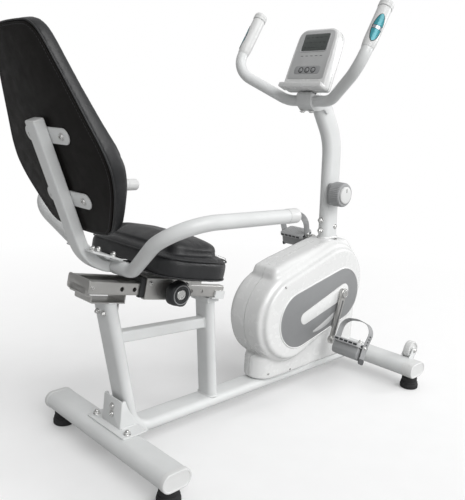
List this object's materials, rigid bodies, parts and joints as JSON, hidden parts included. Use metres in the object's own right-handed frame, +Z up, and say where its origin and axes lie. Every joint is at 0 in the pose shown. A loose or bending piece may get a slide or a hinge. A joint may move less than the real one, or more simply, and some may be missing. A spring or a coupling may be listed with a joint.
{
  "type": "recumbent exercise bike",
  "caption": "Recumbent magnetic exercise bike: sliding seat with backrest and side handles on a rail, enclosed flywheel drive with pedals, mast with handlebar and console.",
  "frame": {"origin": "centre of the footprint, on the floor under the feet", "axes": "+X the way the rider faces, +Y the rider's left, +Z up"},
  "size_m": [1.2568, 0.639, 1.1293],
  "materials": {
    "paint": "semi-gloss light grey powder coat",
    "shell": "glossy white ABS",
    "insert": "silver-grey painted plastic",
    "steel": "zinc-plated steel",
    "cast_iron": "machined iron",
    "black_plastic": "black moulded plastic",
    "grey_plastic": "mid-grey moulded plastic",
    "white_plastic": "white moulded plastic",
    "rubber": "black rubber",
    "vinyl": "black grained vinyl"
  },
  "bodies": {
    "frame": {"rear_stabilizer_tube": "paint", "rear_stabilizer_cap_left": "white_plastic", "rear_stabilizer_cap_right": "white_plastic", "front_stabilizer_tube": "paint", "front_stabilizer_cap_left": "white_plastic", "front_stabilizer_cap_right": "white_plastic", "main_frame_tube": "paint", "front_seat_post": "paint", "frame_crossbar": "paint", "rear_foot_bracket": "paint", "front_saddle_bracket": "paint", "seat_rail": "steel", "rail_rear_bracket": "steel", "rail_front_bracket": "paint", "drive_frame": "paint", "drive_belt": "rubber", "mast": "paint", "cover_left": "shell", "cover_right": "shell", "cover_insert_left": "insert", "cover_insert_right": "insert", "tension_base": "white_plastic", "handlebar": "paint", "grip_left": "white_plastic", "grip_right": "white_plastic", "handlebar_bracket": "paint", "console_shell": "shell"},
    "seat": {"seat_carriage": "steel", "carriage_liner": "black_plastic", "seat_frame_tube": "paint", "back_bracket_upper": "paint", "back_bracket_lower": "paint", "backrest_pad": "vinyl", "seat_pad": "vinyl", "side_handle_left": "paint", "side_handle_right": "paint", "handle_plate": "paint"},
    "lock": {"lock_pin": "steel", "lock_knob": "black_plastic"},
    "crank": {"crank_axle": "steel", "crank_arm_right": "steel", "crank_arm_left": "steel", "crank_pulley": "black_plastic"},
    "pedal_right_body": {"pedal_right": "grey_plastic", "pedal_strap_right": "grey_plastic"},
    "pedal_left_body": {"pedal_left": "grey_plastic", "pedal_strap_left": "grey_plastic"},
    "flywheel_body": {"flywheel": "cast_iron"},
    "magnets": {"magnet_arm": "steel"},
    "tension": {"tension_knob": "grey_plastic"},
    "wheel_left": {"transport_wheel_left": "white_plastic"},
    "wheel_right": {"transport_wheel_right": "white_plastic"},
    "button_1": {"console_button_1": "grey_plastic"},
    "button_2": {"console_button_2": "grey_plastic"},
    "button_3": {"console_button_3": "grey_plastic"},
    "foot_rear_left": {"rear_foot_left": "rubber"},
    "foot_rear_right": {"rear_foot_right": "rubber"},
    "foot_front_left": {"front_foot_left": "rubber"},
    "foot_front_right": {"front_foot_right": "rubber"}
  },
  "joints": [
    {"name": "seat_slide", "type": "slide", "parent": "frame", "child": "seat", "axis": [0.9829, 0, -0.184], "range_m": [-0.102, 0.068]},
    {"name": "lock_pin_push", "type": "slide", "parent": "seat", "child": "lock", "axis": [0, 1, 0], "range_m": [0, 0.007]},
    {"name": "crank_spin", "type": "hinge", "parent": "frame", "child": "crank", "pos_m": [0.3678, 0, 0.305], "axis": [0, 1, 0], "continuous": true},
    {"name": "pedal_right_spin", "type": "hinge", "parent": "crank", "child": "pedal_right_body", "pos_m": [0.3242, -0.16, 0.16671], "axis": [0, 1, 0], "continuous": true},
    {"name": "pedal_left_spin", "type": "hinge", "parent": "crank", "child": "pedal_left_body", "pos_m": [0.4114, 0.16, 0.44329], "axis": [0, 1, 0], "continuous": true},
    {"name": "flywheel_spin", "type": "hinge", "parent": "frame", "child": "flywheel_body", "pos_m": [0.1618, 0, 0.262], "axis": [0, 1, 0], "continuous": true},
    {"name": "magnet_swing", "type": "hinge", "parent": "frame", "child": "magnets", "pos_m": [0.2498, 0, 0.17], "axis": [0, -1, 0], "range_deg": [0, 3.5]},
    {"name": "tension_turn", "type": "hinge", "parent": "frame", "child": "tension", "pos_m": [0.3608, -0.031, 0.606], "axis": [0, 1, 0], "range_deg": [0, 280]},
    {"name": "wheel_left_spin", "type": "hinge", "parent": "frame", "child": "wheel_left", "pos_m": [0.5998, 0.2, 0.105], "axis": [0, 1, 0], "continuous": true},
    {"name": "wheel_right_spin", "type": "hinge", "parent": "frame", "child": "wheel_right", "pos_m": [0.5998, -0.2, 0.105], "axis": [0, 1, 0], "continuous": true},
    {"name": "button_1_press", "type": "slide", "parent": "frame", "child": "button_1", "axis": [0.9311, 0, -0.3649], "range_m": [0, 0.0015], "stiffness_N_per_m": 400},
    {"name": "button_2_press", "type": "slide", "parent": "frame", "child": "button_2", "axis": [0.9311, 0, -0.3649], "range_m": [0, 0.0015], "stiffness_N_per_m": 400},
    {"name": "button_3_press", "type": "slide", "parent": "frame", "child": "button_3", "axis": [0.9311, 0, -0.3649], "range_m": [0, 0.0015], "stiffness_N_per_m": 400},
    {"name": "foot_rear_left_level", "type": "slide", "parent": "frame", "child": "foot_rear_left", "axis": [0, 0, -1], "range_m": [0, 0.01]},
    {"name": "foot_rear_right_level", "type": "slide", "parent": "frame", "child": "foot_rear_right", "axis": [0, 0, -1], "range_m": [0, 0.01]},
    {"name": "foot_front_left_level", "type": "slide", "parent": "frame", "child": "foot_front_left", "axis": [0, 0, -1], "range_m": [0, 0.01]},
    {"name": "foot_front_right_level", "type": "slide", "parent": "frame", "child": "foot_front_right", "axis": [0, 0, -1], "range_m": [0, 0.01]}
  ],
  "couplings": [
    {"joint": "flywheel_spin", "follows": "crank_spin", "ratio": 6},
    {"joint": "tension_turn", "follows": "magnet_swing", "ratio": 80}
  ]
}
